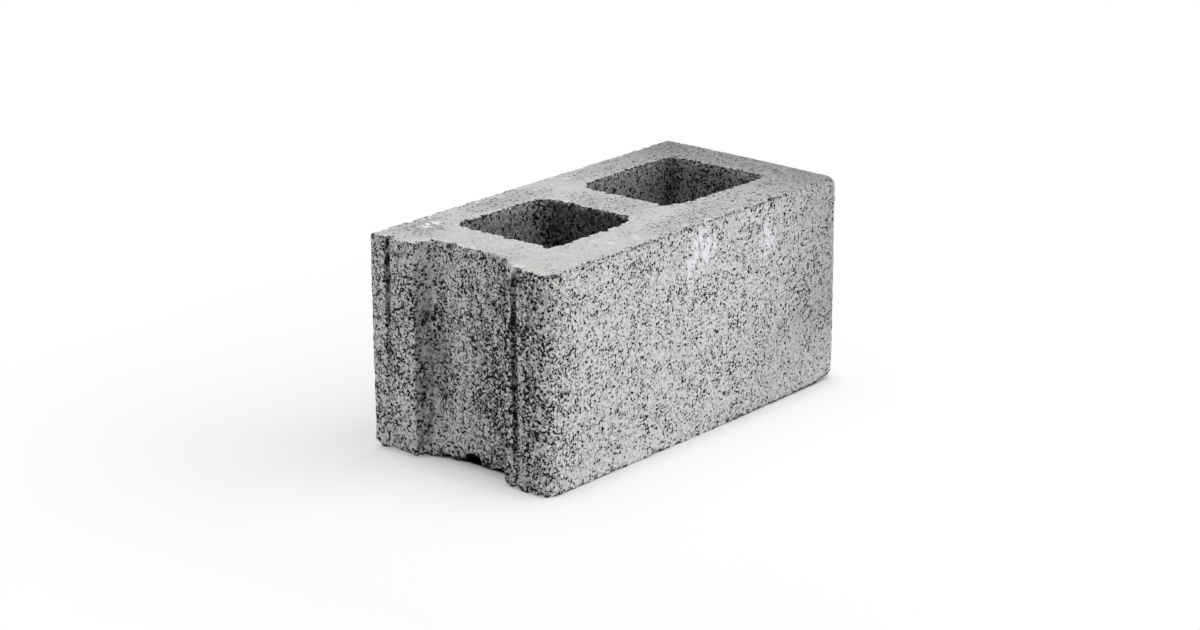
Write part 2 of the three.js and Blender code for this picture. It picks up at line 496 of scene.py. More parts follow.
skin_mesh = bpy.data.meshes.new("fine_skin")
skin_mesh.from_pydata(np.concatenate(points).tolist(), [], faces)
skin_mesh.update()
for name, values in facts.items():
    values = np.concatenate(values).astype(np.float32)
    kind, field = ("FLOAT", "value") if values.ndim == 1 else ("FLOAT_VECTOR", "vector")
    attribute = skin_mesh.attributes.new(name, kind, "POINT")
    attribute.data.foreach_set(field, values.ravel())
skin = in_scene("fine_skin", skin_mesh)
triangle_count = sum(len(polygon.vertices) - 2 for polygon in skin_mesh.polygons)
print(f"fine skin: {len(skin_mesh.vertices)} vertices, {triangle_count} triangles")

# %% [markdown]
# Writing nodes as expressions
#
# Wear and colour are sums of noises, masks and distances, which are hard to read node by node. Here
# a small class stands for one output socket, and Python's own operators add the Math or Vector Math
# node that works the result out. Every other node comes from one function.

# %% A socket that can be calculated with
def add_node(tree, kind, inputs=None, **settings):
    """Adds a node, sets its settings, then its inputs, and returns its first output in use."""
    node = tree.nodes.new(kind)
    for name, value in settings.items():
        setattr(node, name, value)
    in_use = [socket for socket in node.inputs if socket.enabled]
    for key, value in (inputs or {}).items():
        socket = in_use[key] if isinstance(key, int) else next(s for s in in_use if s.name == key)
        if isinstance(value, Wire):
            tree.links.new(value.socket, socket)
        else:
            socket.default_value = value
    outputs = [socket for socket in node.outputs if socket.enabled]
    return Wire(outputs[0]) if outputs else node


class Wire:
    """One output of a node. Calculating with wires adds the nodes that do the calculation."""

    def __init__(self, socket):
        self.socket = socket
        self.tree = socket.id_data

    def output(self, name):
        """Another output of the same node."""
        return Wire(self.socket.node.outputs[name])

    def calculate(self, operation, *others, swapped=False):
        """A Math node for plain numbers, or a Vector Math node if any term is a vector."""
        terms = (*others, self) if swapped else (self, *others)
        flat = [not is_vector(term) for term in terms]
        if not all(flat) and operation == "MULTIPLY" and any(flat):
            operation = "SCALE"
            terms = terms[::-1] if flat[0] else terms
        kind = "ShaderNodeMath" if all(flat) else "ShaderNodeVectorMath"
        return add_node(self.tree, kind, dict(enumerate(terms)), operation=operation)

    def part(self, axis):
        """The x, y or z of a vector."""
        return add_node(self.tree, "ShaderNodeSeparateXYZ", {0: self}).output(axis)

    def ramp(self, start, end, low=0.0, high=1.0):
        """Goes smoothly from low, where the value is start, to high, where it is end."""
        values = {"Value": self, "From Min": start, "From Max": end, "To Min": low, "To Max": high}
        return add_node(self.tree, "ShaderNodeMapRange", values, clamp=True,
                        interpolation_type="SMOOTHSTEP")


for method, operation in (("__add__", "ADD"), ("__radd__", "ADD"), ("__sub__", "SUBTRACT"),
                          ("__mul__", "MULTIPLY"), ("__rmul__", "MULTIPLY"), ("__truediv__", "DIVIDE"),
                          ("__gt__", "GREATER_THAN"), ("at_most", "MINIMUM"), ("at_least", "MAXIMUM"),
                          ("length", "LENGTH")):
    setattr(Wire, method, functools.partialmethod(Wire.calculate, operation))
for method, operation in (("__rsub__", "SUBTRACT"), ("__rtruediv__", "DIVIDE")):
    setattr(Wire, method, functools.partialmethod(Wire.calculate, operation, swapped=True))


def is_vector(term):
    """Whether a wire or a fixed value is a vector or a colour."""
    return term.socket.type in ("VECTOR", "RGBA") if isinstance(term, Wire) else isinstance(term, Vector)


def noise(where, size, seed=0.0, detail=2.0, roughness=0.5):
    """Smooth noise, about 0 to 1, with features of the given size in metres."""
    values = {"Vector": where, "W": seed, "Scale": 1.0 / size, "Detail": detail, "Roughness": roughness}
    return add_node(where.tree, "ShaderNodeTexNoise", values, noise_dimensions="4D")


def in_metres(*millimetres):
    """A fixed vector, given in mm."""
    return Vector(millimetres) * MM


# %% [markdown]
# Wearing the block
#
# Three things wear a dry-cast block. Handling rounds its arrises, most of all at the corners that are
# set down first, and crumbles them in scallops. Knocks bite small chips out of them. And the faces
# were never smooth: the mould's steel drags grains with it and leaves low waves and lumps. A sculptor
# would brush these on one by one. Geometry Nodes can do it by rule, with the sizes as named inputs,
# and the same seed always wears the block in the same way.
#
# Rounding uses the first three facts. A point closer to an arris than the radius is moved onto the
# arc that joins the two faces: the distance becomes an angle, from 45 degrees on the arris itself
# down to nothing. A bite is a hollow ball just outside the block. A point inside it is pushed
# straight away from its centre, out to its surface.

# %% Worn and broken places
WORN_PLACES = [
    # x, y, z of the middle, how far it reaches, and how much it adds to the radius, all in mm
    (198, -98, 190, 120, 8.5),
    (120, -98, 190, 60, 1.0),
    (198, 0, 190, 90, 2.5),
    (198, -98, 0, 190, 6.0),
    (198, -98, 0, 36, 3.5),
    (-198, 98, 0, 50, 7.0),
    (-198, 62, 0, 30, 8.0),
    (-198, -45, 0, 26, 4.0),
    (-198, -98, 0, 34, 1.8),
    (-198, -98, 190, 30, 4.0),
    (-180, 10, 190, 60, 1.8),
    (-198, 70, 190, 34, 1.5),
    (-140, -98, 190, 50, 2.6),
    (-60, -98, 190, 60, 2.0),
]
BITES = [
    # x, y, z of the centre and the half sizes along x, y and z, all in mm
    (-182, 4.5, -2, 38, 12, 11.5),
    (-181, -24, -2, 7, 13, 5),
    (-200, 84, -2, 6, 11, 7),
    (-199, -64, 190, 5, 6, 5),
    (-62, -100, -1.5, 8, 5, 4),
    (84, -100.5, -1.5, 11, 5.5, 5),
    (150, -100, -1, 9, 4.5, 4.5),
    (60, 100, 191.5, 9, 5, 4),
    (200.5, 96, -1, 6, 8, 7),
]
SIZES = {
    # the named inputs of the tree, and what they are set to
    "Top arris radius": 1.2 * MM,
    "Bottom arris radius": 1.1 * MM,
    "Crumbled depth": 3.0 * MM,
    "Chip share": 0.07,
    "Chip size": 3.1 * MM,
    "Wave depth": 0.6 * MM,
    "Lump size": 5.0 * MM,
    "Lump depth": 1.1 * MM,
    "Pock depth": 1.2 * MM,
    "Ravelled depth": 3.0 * MM,
    "Seed": 4.0,
    "Seed number": 4,
    "Finish": None,
}
SOCKET_KINDS = {float: "NodeSocketFloat", int: "NodeSocketInt", type(None): "NodeSocketMaterial"}

# %% Round and crumble the arrises
ROUNDING_SIZE = 9.0 * MM
CRUMB_SIZE = 5.0 * MM
SCALLOP_SIZE = 8.0 * MM
CRUMBLED_BAND = 6.0 * MM


def fact(tree, name, kind="FLOAT"):
    """One of the seven facts, as a field."""
    return add_node(tree, "GeometryNodeInputNamedAttribute", {"Name": name}, data_type=kind)


def rounding(size, place, distance, own, beyond):
    """How far each point moves when the arrises are rounded."""
    upper = place.part("Z") > HEIGHT / 2
    radius = upper * size["Top arris radius"] + (1 - upper) * size["Bottom arris radius"]
    radius = radius * noise(place, ROUNDING_SIZE, size["Seed"]).ramp(0.3, 0.75, 0.45, 1.9)
    for x, y, z, reach, extra in WORN_PLACES:
        gap = (place - in_metres(x, y, z)).length()
        radius = radius + gap.ramp(reach * MM, 0.0, 0.0, extra * MM)
    share = (1 - distance / radius).at_least(0.0)
    angle = share * (math.pi / 4)
    sine, cosine = (angle.calculate(operation) for operation in ("SINE", "COSINE"))
    return own * (radius * (cosine - 1)) + beyond * (radius * (sine - share))


def crumbling(size, place, distance, own, beyond):
    """How far each point moves where an arris has crumbled: sideways in a core, else up or down."""
    upper = place.part("Z") > HEIGHT / 2
    core_arris = fact(place.tree, "core_arris")
    near = (1 - distance / CRUMBLED_BAND).at_least(0.0)
    crumbs = noise(place * Vector((1.0, 1.0, 0.5)), CRUMB_SIZE, size["Seed"] + 9).ramp(0.42, 0.66) * near
    scallops = noise(place * Vector((1.0, 1.0, 0.0)), SCALLOP_SIZE, size["Seed"] + 2).ramp(0.48, 0.62)
    scallops = (scallops * (0.8 - upper * 0.8) + crumbs * (upper * 0.25)) * (1 - core_arris) * near
    inwards = (own + beyond) * (size["Crumbled depth"] * -1)
    sideways = inwards * Vector((1.0, 1.0, 0.0)) * (crumbs * core_arris)
    return sideways + inwards * Vector((0.0, 0.0, 1.0)) * scallops


# %% Bite, chip and roughen
CHIP_VARIETY = 7.0 * MM
CHIP_GRAIN = 3.0 * MM
BITE_GRAIN = 5.0 * MM
WAVE_SIZE = 55.0 * MM
RAVEL_SIZE = 6.0 * MM
SMOOTH_TOP_BAND = 12.0 * MM


def moved(tree, skin, offset):
    """The skin with each of its points moved by an offset."""
    return add_node(tree, "GeometryNodeSetPosition", {"Geometry": skin, "Offset": offset})


def bite(place, centre, half_sizes, raggedness):
    """How far a hollow ball pushes each point, and how deep inside the ball it was."""
    away = place - centre
    reach = (away / half_sizes).length() + raggedness
    inside_ball = (1 - reach).at_least(0.0)
    return away * (inside_ball / reach.at_least(0.15)), inside_ball


def chips(tree, skin, size, place, distance, own, beyond):
    """The same for small round chips at random points of the arrises, more of them in the cores."""
    chance = add_node(tree, "FunctionNodeRandomValue", {"Seed": size["Seed number"]}, data_type="FLOAT")
    share = size["Chip share"] * (fact(tree, "inside_core") * 4 + 1)
    on_arris = (1 - (distance > SAME_PLACE)) * (1 - (chance > share))
    values = {"Mesh": skin, "Selection": on_arris}
    centres = add_node(tree, "GeometryNodeMeshToPoints", values, mode="VERTICES")
    centres = moved(tree, centres, (own + beyond) * (size["Chip size"] * 0.35))
    nearest_chip = add_node(tree, "GeometryNodeSampleNearest", {0: centres}, domain="POINT")
    values = {0: centres, 1: place, "Index": nearest_chip}
    centre = add_node(tree, "GeometryNodeSampleIndex", values, data_type="FLOAT_VECTOR", domain="POINT")
    varied = noise(centre, CHIP_VARIETY, size["Seed"], detail=0.0).ramp(0.25, 0.75, 0.5, 1.5)
    ragged = (noise(place, CHIP_GRAIN, size["Seed"]) - 0.5) * 0.5
    reach = (place - centre).length() * (1 / (size["Chip size"] * varied)) + ragged
    depth = (1 - reach).at_least(0.0)
    return (place - centre) * (depth / reach.at_least(0.3)), depth


def relief(tree, size, place):
    """How deep the face lies below the mould's plane, from waves, lumps and pock holes."""
    openness = fact(tree, "openness")
    wave = noise(place, WAVE_SIZE, size["Seed"], detail=1.0).ramp(0.25, 0.75) * size["Wave depth"]
    lumps = noise(place, size["Lump size"], size["Seed"] + 3, detail=1.5, roughness=0.6)
    lumps = (1 - lumps.ramp(0.3, 0.7)) * size["Lump depth"]
    holes = noise(place, size["Lump size"] * 1.3, size["Seed"] + 7, detail=0.5)
    holes = holes.ramp(0.36, 0.24) * size["Pock depth"]
    below_top = (HEIGHT - place.part("Z")).ramp(0.0, SMOOTH_TOP_BAND, 0.3, 1.0)
    ravelled = noise(place, RAVEL_SIZE, size["Seed"] + 5).ramp(0.42, 0.66) * size["Ravelled depth"]
    deep = wave + (lumps + holes) * (openness * 0.9 + 0.1)
    deep = deep + ravelled * fact(tree, "enclosed").ramp(0.25, 0.6)
    usual = size["Wave depth"] * 0.5 + openness * (size["Lump depth"] * 0.4)
    return (deep - usual) * below_top


# %% The weathering tree
def stored(tree, skin, name, value):
    """The skin with a value kept on its points, for the material."""
    values = {"Geometry": skin, "Name": name, "Value": value}
    return add_node(tree, "GeometryNodeStoreNamedAttribute", values, data_type="FLOAT", domain="POINT")


def weathering_tree():
    """The whole tree: it moves the skin's points three times, then keeps them inside the mould."""
    tree = bpy.data.node_groups.new("weathering", "GeometryNodeTree")
    tree.interface.new_socket("Skin", in_out="INPUT", socket_type="NodeSocketGeometry")
    for name, value in SIZES.items():
        tree.interface.new_socket(name, in_out="INPUT", socket_type=SOCKET_KINDS[type(value)])
    tree.interface.new_socket("Skin", in_out="OUTPUT", socket_type="NodeSocketGeometry")
    skin = add_node(tree, "NodeGroupInput")
    size = {name: skin.output(name) for name in SIZES}
    place = add_node(tree, "GeometryNodeInputPosition")
    at_arris = (place, fact(tree, "arris_distance"), fact(tree, "face_out", "FLOAT_VECTOR"),
                fact(tree, "arris_out", "FLOAT_VECTOR"))
    skin = moved(tree, skin, rounding(size, *at_arris) + crumbling(size, *at_arris))

    push, broken = chips(tree, skin, size, *at_arris)
    ragged = (noise(place, BITE_GRAIN, size["Seed"]) - 0.5) * 0.4
    hollow = broken * 0.3
    for x, y, z, *half_sizes in BITES:
        more, depth = bite(place, in_metres(x, y, z), in_metres(*half_sizes), ragged)
        push = push + more
        hollow = hollow + depth
    skin = stored(tree, skin, "broken", (broken + hollow).ramp(0.0, 0.3))
    skin = stored(tree, skin, "hollow", hollow)
    skin = moved(tree, skin, push)

    normal = add_node(tree, "GeometryNodeInputNormal")
    skin = moved(tree, skin, normal * (relief(tree, size, place) * -1))
    in_mould = place.at_least(low).at_most(high)
    skin = add_node(tree, "GeometryNodeSetPosition", {"Geometry": skin, "Position": in_mould})
    skin = add_node(tree, "GeometryNodeRealizeInstances", {"Geometry": skin})
    skin = add_node(tree, "GeometryNodeSetMaterial", {"Geometry": skin, "Material": size["Finish"]})
    add_node(tree, "NodeGroupOutput", {0: skin})
    return tree


weathering = weathering_tree()
print(f"weathering: {len(weathering.nodes)} nodes")

# %% [markdown]
# The finish
#
# Seen close, the sides are pale grains of stone in grey paste, 2 to 4 mm across, with black gaps
# between them where the dry mix didn't close up, and a few round holes. On the top face, which was
# pressed and trowelled by the machine's shoes, paste fills the gaps. An image laid over the block
# would be the quick way to this finish, but its scale and its light would be fixed. Noise in object
# space has neither problem, and needs no seam at the corners.
#
# Every pattern is made once, as a mask between 0 and 1. The colour and the bump both come from the
# same masks, so each dark gap is also a deep one; the gaps' near black is partly painted shade. Noise
# can't know where this one block is denser, looser, smeared, shaded or thin in paste, so short lists
# of soft-edged balls say that, and the shaded ones are painted shade.

# %% Colours and marked places
PALE_GRAIN = (0.732, 0.73, 0.73, 1.0)
GREY_GRAIN = (0.42, 0.42, 0.42, 1.0)
DARK_GRAIN = (0.30, 0.30, 0.297, 1.0)
# Near black: the gaps' and pits' colour, partly painted shade of the open voids, and the colour that all
# painted shade goes towards.
GAP_AND_SHADE = (0.010, 0.010, 0.010, 1.0)
PALE_PASTE = (0.56, 0.56, 0.557, 1.0)
GRITTY_PASTE = (0.24, 0.24, 0.242, 1.0)
LIME = (0.87, 0.87, 0.90, 1.0)
WARM_TINT = (1.0, 1.0, 0.975, 1.0)
COOL_TINT = (0.99, 0.99, 1.01, 1.0)
LIME_MARKS = [
    # x, y, z of the middle and the half sizes along x, y and z of each whitish mark, in mm
    (4, -98, 170, 22, 14, 26),
    (-13, -98, 154, 12, 14, 18),
    (95, -98, 158, 13, 14, 20),
    (-148, 76, 190, 16, 7, 8),
    (-190, -60, 184, 8, 12, 9),
]
SMEARED_PLACES = [
    # the same where the mould's steel has smeared the face smooth
    (-188, 44, 170, 16, 12, 30),
    (-188, 46, 144, 14, 7, 22),
]
TIGHT_PLACES = [
    # the same where the mix closed up better, with a strength, negative where it is looser
    (-178, 0, 168, 14, 46, 34, 0.27),
    (-182, 20, 26, 20, 50, 34, 0.30),
    (-178, 20, 95, 12, 15, 120, 0.2),
    (-188, 47, 118, 12, 7, 44, 0.12),
    (-194, -70, 115, 12, 25, 18, 0.24),
    (-110, -98, 6, 110, 12, 12, 0.25),
    (-194, 62, 32, 10, 14, 18, 0.22),
    (-182, -30, 114, 14, 14, 20, 0.25),
    (-188, -44, 22, 14, 14, 22, 0.25),
    (-85, -98, 166, 36, 12, 26, -0.15),
    (-99, -98, 42, 26, 12, 20, -0.15),
    (-10, -98, 62, 30, 12, 34, -0.10),
    (-195, -53, 158, 9, 6, 40, -0.28),
]
PAINTED_SHADE_PLACES = [
    # the same where shade is painted: the rear groove, the head of the front groove and a corner of the
    # recess
    (-194, 79.5, 155, 8, 5, 46),
    (-194, -61, 174, 8, 6, 10),
    (-178, 36, 84, 14, 11, 46),
]
ROLLED_PLACES = [
    # the same where the top's paste is rolled over the arris
    (-182, -38, 188, 12, 16, 9),
]
GRITTY_PLACES = [
    # the same where the top's paste is thin
    (0, 2, 190, 30, 55, 20),
    (-50, 78, 190, 60, 22, 20),
    (176, 0, 190, 90, 160, 20),
    (110, -75, 190, 110, 40, 20),
    (10, -82, 190, 70, 22, 20),
    (110, 80, 190, 90, 30, 20),
    (-160, 80, 190, 34, 30, 20),
]


# %% Helpers for masks
def emptied_tree(owner):
    """The node tree of a material or a world, with nothing in it."""
    owner.use_nodes = True
    owner.node_tree.nodes.clear()
    return owner.node_tree


def mixed(factor, first, second):
    """One colour or the other, by a factor of 0 to 1."""
    return add_node(factor.tree, "ShaderNodeMix", {0: factor, 1: first, 2: second}, data_type="RGBA")


def reach_of(place, marks, start=1.1, end=0.4, join=Wire.at_least):
    """How far in the marks a point is, from 0 at start, a share of the half sizes, to full at end."""
    away = [((place - in_metres(*mark[:3])) / in_metres(*mark[3:6])).length() for mark in marks]
    reaches = [far.ramp(start, end, 0.0, *mark[6:]) for far, mark in zip(away, marks)]
    return functools.reduce(join, reaches)


def cells_of(where, spacing):
    """Random cells: how far a point is from its cell's middle, and the cell's own random number."""
    distance = add_node(where.tree, "ShaderNodeTexVoronoi", {"Vector": where, "Scale": 1 / spacing})
    own_number = add_node(where.tree, "ShaderNodeSeparateColor", {0: distance.output("Color")})
    return distance, own_number


def pits_of(where, spacing, share, largest=0.4):
    """Round dark pits in a share of random cells. The last few of them are small."""
    distance, own_number = cells_of(where, spacing)
    radius = ((share - own_number) * 1.5).at_most(largest)
    return (radius - distance).ramp(-0.05, 0.08)


def gaps_of(where, spacing, share):
    """Dark gaps between round grains in random cells. A larger share shrinks the grains."""
    distance, own_number = cells_of(where, spacing)
    grain_radius = 1.0 - share * 0.55 + (own_number - 0.5) * 0.2
    return (distance - grain_radius).ramp(-0.05, 0.08)


# %% Where the face is open, and what covers it
RAGGED_SIZE = 7.0 * MM
PATCH_SIZE = 32.0 * MM
GRIT_SIZE = 22.0 * MM
FLAKE_SIZE = 6.0 * MM
DRAG_SIZE = 5.0 * MM

# What the finish knows at each point: its place, its facts, and the noises that masks share.
concrete = bpy.data.materials.new("open_grained_concrete")
tree = emptied_tree(concrete)
place = add_node(tree, "ShaderNodeTexCoord").output("Object")
x, y, z = (place.part(axis) for axis in "XYZ")
arris_distance, openness, enclosed, inside_core, broken, hollow = (
    add_node(tree, "ShaderNodeAttribute", attribute_name=name).output("Fac")
    for name in ("arris_distance", "openness", "enclosed", "inside_core", "broken", "hollow"))
ragged = noise(place, RAGGED_SIZE, 1.0, detail=4.0, roughness=0.65) - 0.5
stray = ragged * in_metres(15, 15, 30)
gate = noise(place, RAGGED_SIZE, 3.0, roughness=0.6) - 0.5
patches = noise(place, PATCH_SIZE, 2.0) - 0.5

# The masks of the top's paste, of lime and of smearing, and how open the face is.
astray = place + stray
rolled = reach_of(place + ragged * (8 * MM), ROLLED_PLACES, end=0.5)
on_top = (z - HEIGHT + ragged * (6 * MM) + rolled * (5 * MM)).ramp(-3.0 * MM, -1.0 * MM)
gritty = (noise(place, GRIT_SIZE, 9.0, detail=5.0, roughness=0.65) - 0.5) * 1.2
gritty = (gritty + 0.12 + reach_of(place, GRITTY_PLACES, 1.15, 0.3) * 0.6).at_least(0.0)
beside = (arris_distance + ragged * (26 * MM) + rolled * (6 * MM)).ramp(-1.0 * MM, 5.0 * MM)
cover = on_top * beside * (1 - broken) * (0.96 - gritty * 0.45)
tight = reach_of(astray, TIGHT_PLACES, end=0.5, join=Wire.__add__)
opened = (openness + on_top * 0.35 + broken * 0.3 - tight).at_most(1.1)
flakes = noise(place * Vector((1.0, 1.0, 0.6)), FLAKE_SIZE, 21.0, detail=4.0, roughness=0.6)
lime = reach_of(astray, LIME_MARKS) * flakes.ramp(0.44, 0.54)
dragged = noise(place * Vector((1.0, 1.0, 0.12)), DRAG_SIZE, 12.0, detail=1.0).ramp(0.57, 0.70) * 0.8
dragged = dragged.at_least(reach_of(astray, SMEARED_PLACES) * 0.7)
# front_rim is the band beside the top front arris, which gets more pits and painted shade.
front_rim = arris_distance.ramp(6.0 * MM, 0.0) * y.ramp(-84 * MM, -94 * MM)
front_rim = front_rim * (z > HEIGHT / 2)

# %% Pits and gaps
WARP = 0.9 * MM
PIT = 3.0 * MM
FINE_PIT = 1.9 * MM
COARSE_PIT = 5.5 * MM
GRAIN_GAP = 2.6 * MM
FINE_GAP = 2.1 * MM

# All that is dark between the grains: round pits, and the gaps of a loose mix. Their near black is
# partly painted shade of the open voids.
values = {"Vector": place, "Scale": 1 / FINE_PIT, "Detail": 1.0}
warp = add_node(tree, "ShaderNodeTexNoise", values)
bent = place + (warp.output("Color") - Vector((0.5, 0.5, 0.5))) * WARP
share = opened * 0.55 + gate + patches * (opened * 0.4 + 0.35) + 0.17
share = share - on_top * 0.04 - cover * 0.20 + cover * gritty * 0.6
share = share - lime * 0.22 - dragged * 0.10
share = share + on_top * (1 - beside) * 0.25 + front_rim * 0.15
dark = pits_of(bent, PIT, share)
dark = dark.at_least(pits_of(bent + Vector((0.3, 0.1, 0.2)), FINE_PIT, share - 0.02) * 0.9)
dark = dark.at_least(pits_of(bent, COARSE_PIT, share * 0.5 - 0.1))
# enclosed adds gaps in the grooves and the recess, painted shade that darkens them.
loose = gate * 0.9 + enclosed.ramp(0.32, 0.55) * 0.22 + patches * (opened * 0.4 + 0.3)
loose = loose - dragged * 0.4 - cover * 0.7 - lime * 0.2
dark = dark.at_least(gaps_of(bent, GRAIN_GAP, loose + opened * 0.94 - 0.298))
dark = dark.at_least(gaps_of(bent, FINE_GAP, loose + opened * 0.15 + 0.37))

# %% Grains and paste
STONE = 4.2 * MM
BARE_GRAIN = 3.6 * MM
GRAIN_TONE = 2.4 * MM
FINE_TONE = 1.1 * MM
BLOOM_SIZE = 15.0 * MM

# Grains, paste, lime and gaps. The grains' tones differ most where the face is open.
stones, _ = cells_of(bent, STONE)
fine = noise(place, FINE_TONE, 6.0, detail=1.0)
grains = noise(place, GRAIN_TONE, 4.0, roughness=0.6) + patches * 0.12
pale = grains + (0.45 - stones) * (opened * 0.5) - 0.26
pale = pale.ramp(0.0, opened * 0.1 + 0.24)
pale = pale + (0.5 - pale) * (dragged * 0.7)
grey = mixed(opened.ramp(0.3, 1.0), GREY_GRAIN, DARK_GRAIN)
grit = (grains * 0.7 + fine * 0.5 - 0.6) * (gritty * 2.0 + 1.7)
paste = mixed((gritty + grit).ramp(-0.3, 1.0), PALE_PASTE, GRITTY_PASTE)
grain, grain_number = cells_of(bent + Vector((0.15, 0.25, 0.1)), BARE_GRAIN)
bare = grain.ramp(0.50, 0.22) * (gritty * 0.26 + 0.07 - grain_number).ramp(0.0, 0.10)
paste = mixed(bare * (gritty * 0.3 + 0.3), paste, LIME)
colour = mixed(cover, mixed(pale, grey, PALE_GRAIN), paste)
bloom = noise(place, BLOOM_SIZE, 14.0, detail=4.0, roughness=0.6).ramp(0.56, 0.72) * cover * 0.6
colour = mixed((lime * 0.9).at_least(bloom * 0.6), colour, LIME)
colour = mixed(dark * (1 - cover * 0.3), colour, GAP_AND_SHADE)
colour = colour * mixed(x.ramp(-0.178, -0.170), WARM_TINT, COOL_TINT)

# %% Painted shade of deep places, and darker tones
# Painted shade darkens the grooves, the recess, the cores, the bites, the foot and the front arris; the
# block is also darker towards its far end.
blobs = noise(place * Vector((1.0, 1.0, 0.6)), FLAKE_SIZE, 16.0).ramp(0.44, 0.60)
# Painted shade in the marked places of the grooves and the recess.
painted_shade_marks = reach_of(place + stray * 0.5, PAINTED_SHADE_PLACES, 1.2)
low_down = (z + ragged * (60 * MM)).ramp(175 * MM, 120 * MM, 0.3, 1.0)
# The enclosed share paints shade in blotches in the grooves and the recess, weaker near the top.
shade = (enclosed - 0.12).at_least(0.0) * (blobs * 0.9 + 0.1)
shade = shade + (enclosed + ragged * 0.8).ramp(0.35, 0.6) * blobs * 0.45
shade = shade + enclosed.ramp(0.19, 0.34) * low_down * 0.30
# inside_core paints the shade of the cores; front_rim paints shade that tones down the highlight of the
# rounded front arris.
shade = shade + painted_shade_marks * 0.28 + front_rim * 0.16 + inside_core * 0.56
shade = shade + x.ramp(0.07, 0.198, 0.0, 0.30) * z.ramp(0.0, 80 * MM)
shade = shade + x.ramp(0.0, 0.09) * z.ramp(0.12, 0.05) * 0.08 * (1 - inside_core)
shade = shade + x.ramp(0.0, 0.09) * y.ramp(0.04, 0.07) * on_top * 0.08
shade = shade + x.ramp(-0.02, 0.10, 0.0, 0.05) * (1 - on_top)
shade = shade + x.ramp(0.08, 0.198, 0.0, 0.10) * on_top
# foot is a painted contact shadow: a ragged dark band along the bottom arris, lower on the front.
on_front = y.ramp(-92 * MM, -96 * MM)
foot = (z + ragged * (30 * MM) + on_front * (2.4 * MM)).ramp(3.2 * MM, 1.6 * MM, 0.0, 0.93)
# hollow paints shade deep inside the bites and chips.
shade = shade.at_least(foot).at_least(hollow * 2).at_most(0.93)

# %% The concrete material
BUMP_HEIGHT = 1.0 * MM
depth = (1 - dark) + fine * 0.2
depth = depth + (grains * 0.8 - stones * opened * 0.6) * (1 - cover * 0.8)
bump = add_node(tree, "ShaderNodeBump", {"Strength": 1.0, "Distance": BUMP_HEIGHT, "Height": depth})
# The painted shade mixes the colour towards near black.
colour = mixed(shade, colour, GAP_AND_SHADE)
values = {"Base Color": colour, "Roughness": 0.95, "Normal": bump, "Specular IOR Level": 0.15}
shader = add_node(tree, "ShaderNodeBsdfPrincipled", values)
add_node(tree, "ShaderNodeOutputMaterial", {"Surface": shader})
print(f"concrete: {len(concrete.node_tree.nodes)} nodes")

# %% [markdown]
# Wearing the skin
#
# The tree could stay on the block as a modifier, with its sizes still open to change. A plain mesh
# travels further, so the tree runs once and its result is kept. It is shaded smooth, because the
# roughness is in its relief and in the bump.

# %% Wear the skin and make it one plain mesh
modifier = skin.modifiers.new("weathering", "NODES")
modifier.node_group = weathering
identifiers = {item.name: item.identifier for item in weathering.interface.items_tree
               if item.in_out == "INPUT"}
for name, value in SIZES.items():
    modifier[identifiers[name]] = concrete if name == "Finish" else value
depsgraph = bpy.context.evaluated_depsgraph_get()
block_mesh = bpy.data.meshes.new_from_object(skin.evaluated_get(depsgraph))
skin.modifiers.remove(modifier)
bpy.data.objects.remove(skin)
block_mesh.name = "weathered_block"
block_mesh.shade_smooth()
block = in_scene("weathered_block", block_mesh)
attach(block, "root")
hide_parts(NODE)
print(f"weathered block: {len(block_mesh.vertices)} vertices")

# %% [markdown]
# The floor
#
# The block stands on a white studio table. Near it the floor is plain white paper that holds the
# soft shadow. Further away the paper is lit until it is pure white, which is made here by letting
# camera rays, and only they, see it as white. Under the block the paper is painted black, a painted
# shadow, so that no light leaks out at the block's foot, but it is white in the two windows seen
# through the cores.

# %% Floor
FLOOR_HALF = 6.0
WHITE = (1.0, 1.0, 1.0, 1.0)
FLOOR_WHITE = (0.90, 0.90, 0.90, 1.0)
UNDER_BLOCK = (0.01, 0.01, 0.01, 1.0)
END_INSET = 24.0 * MM
SIDE_INSET = 5.0 * MM
UNDER_EDGE = 0.020
CORE_WINDOWS = [
    # the middle and the half sizes of the floor seen through each core, in mm
    ((-79.0, 6.0, 0.0), (52.0, 51.0, 0.0)),
    ((89.0, 6.0, 0.0), (62.0, 51.0, 0.0)),
]
FADE_START = 0.04
FADE_END = 0.45
NOWHERE = Vector((0.0, 0.0, 0.0))


def seen_directly(tree):
    """1 for camera rays and their mirrored or refracted ones, and 0 for the rays that carry light."""
    ray = add_node(tree, "ShaderNodeLightPath")
    kinds = [ray.output(f"Is {kind} Ray") for kind in ("Camera", "Glossy", "Transmission")]
    return functools.reduce(Wire.at_least, kinds)


def beyond_box(place, middle, half_size):
    """How far a point lies outside a rectangle on the floor."""
    away = place - middle
    return (away.calculate("ABSOLUTE") - half_size).at_least(NOWHERE).length()


# The paper turns from shadowed to pure white, soon on the lit sides and late on the others.
paper_material = bpy.data.materials.new("white_paper")
tree = emptied_tree(paper_material)
place = add_node(tree, "ShaderNodeTexCoord").output("Object")
x, y = place.part("X"), place.part("Y")
footprint = Vector((LENGTH / 2 - END_INSET, WIDTH / 2, 0.0))
away = beyond_box(place, NOWHERE, footprint)
near = away.ramp(0.0, UNDER_EDGE) * y.ramp(0.14, 0.0, 0.25, 0.60)
near = near * (1 - x.ramp(-0.24, -0.18) * y.ramp(-0.125, -0.09, 0.0, 0.6) * y.ramp(0.09, 0.03))
# Beyond the plain end camera rays see the paper nearly white, a painted light that takes out most of the
# shadow there.
near = near.at_least(x.ramp(0.190, 0.215, 0.0, 0.85))
far = near.at_least(away.ramp(FADE_START, FADE_END))
